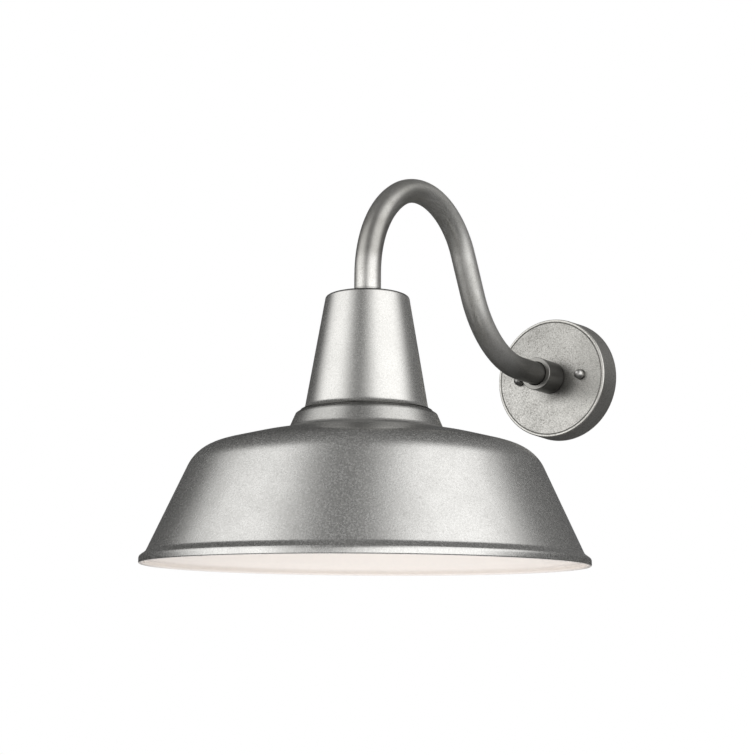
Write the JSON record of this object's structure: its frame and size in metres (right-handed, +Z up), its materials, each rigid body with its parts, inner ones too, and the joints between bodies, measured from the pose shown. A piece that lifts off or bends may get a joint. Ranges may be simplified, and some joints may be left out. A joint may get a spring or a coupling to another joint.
{
  "type": "outdoor wall lantern",
  "caption": "Barn-style wall lantern: a bent gooseneck arm on a round wall plate carries a tall neck housing and a wide spun metal shade, white inside, over a screw-base lamp.",
  "frame": {"origin": "centre of the mounting strap's back face, in the wall plane and on the wall plate's axis", "axes": "+Y into the wall, -Y out into the open along the arm, +Z up, X across the wall"},
  "size_m": [0.3556, 0.5098, 0.3418],
  "materials": {
    "pewter_spun": "weathered pewter coat on spun aluminium, satin, finely speckled",
    "pewter_steel": "weathered pewter coat on steel, satin, finely speckled",
    "pewter_bright": "pewter coat, polished on the crown",
    "zinc_steel": "bright zinc plate",
    "green_steel": "green passivated steel",
    "brass": "plain brass",
    "foam": "closed-cell foam rubber",
    "porcelain": "glazed porcelain",
    "green_insulation": "insulated lead",
    "black_insulation": "insulated lead",
    "white_insulation": "insulated lead",
    "orange_plastic": "moulded nylon",
    "solder": "solder",
    "black_glass": "vitreous black insulator",
    "cap_metal": "rolled aluminium",
    "frosted_glass": "inside-frosted glass",
    "clear_glass": "clear glass",
    "tungsten": "drawn wire"
  },
  "bodies": {
    "root": {"wall_gasket": "foam", "mounting_strap": "zinc_steel", "mounting_studs": "zinc_steel", "stud_lock_nuts": "zinc_steel", "ground_screw": "green_steel", "wall_plate": "pewter_steel", "arm_collar": "pewter_steel", "arm_end_plug": "zinc_steel", "arm_nipple": "brass", "arm_lock_washer": "zinc_steel", "arm_lock_nut": "brass", "ground_lead": "green_insulation", "gooseneck_arm": "pewter_steel", "neck_end_plug": "zinc_steel", "neck_nipple": "brass", "neck_seal_washer": "foam", "neck_lock_nut": "brass", "neck_housing": "pewter_spun", "shade": "pewter_spun", "shade_screws": "zinc_steel", "shade_screw_nuts": "zinc_steel", "socket_bracket": "zinc_steel", "bracket_nut": "brass", "bracket_screws": "zinc_steel", "socket_porcelain": "porcelain", "socket_screw_shell": "brass", "socket_contact": "brass", "hot_lead": "black_insulation", "neutral_lead": "white_insulation", "wire_connectors": "orange_plastic"},
    "left_nut": {"cap_nut_left": "pewter_bright"},
    "right_nut": {"cap_nut_right": "pewter_bright"},
    "lamp_carrier": {"lamp_contact": "solder"},
    "lamp": {"lamp_insulator": "black_glass", "lamp_cap": "cap_metal", "lamp_glass": "frosted_glass", "lamp_stem": "clear_glass", "lamp_filament": "tungsten"}
  },
  "joints": [
    {"name": "left_nut_off", "type": "slide", "parent": "root", "child": "left_nut", "axis": [0, -1, 0], "range_m": [0, 0.0055]},
    {"name": "right_nut_off", "type": "slide", "parent": "root", "child": "right_nut", "axis": [0, -1, 0], "range_m": [0, 0.0055]},
    {"name": "lamp_lower", "type": "slide", "parent": "root", "child": "lamp_carrier", "axis": [0, 0, -1], "range_m": [0, 0.0182]},
    {"name": "lamp_turn", "type": "hinge", "parent": "lamp_carrier", "child": "lamp", "pos_m": [0, -0.332, -0.05], "axis": [0, 0, -1], "range_deg": [0, 1800]}
  ],
  "couplings": [
    {"joint": "lamp_lower", "follows": "lamp_turn", "m_per_rad": 0.00057751}
  ]
}
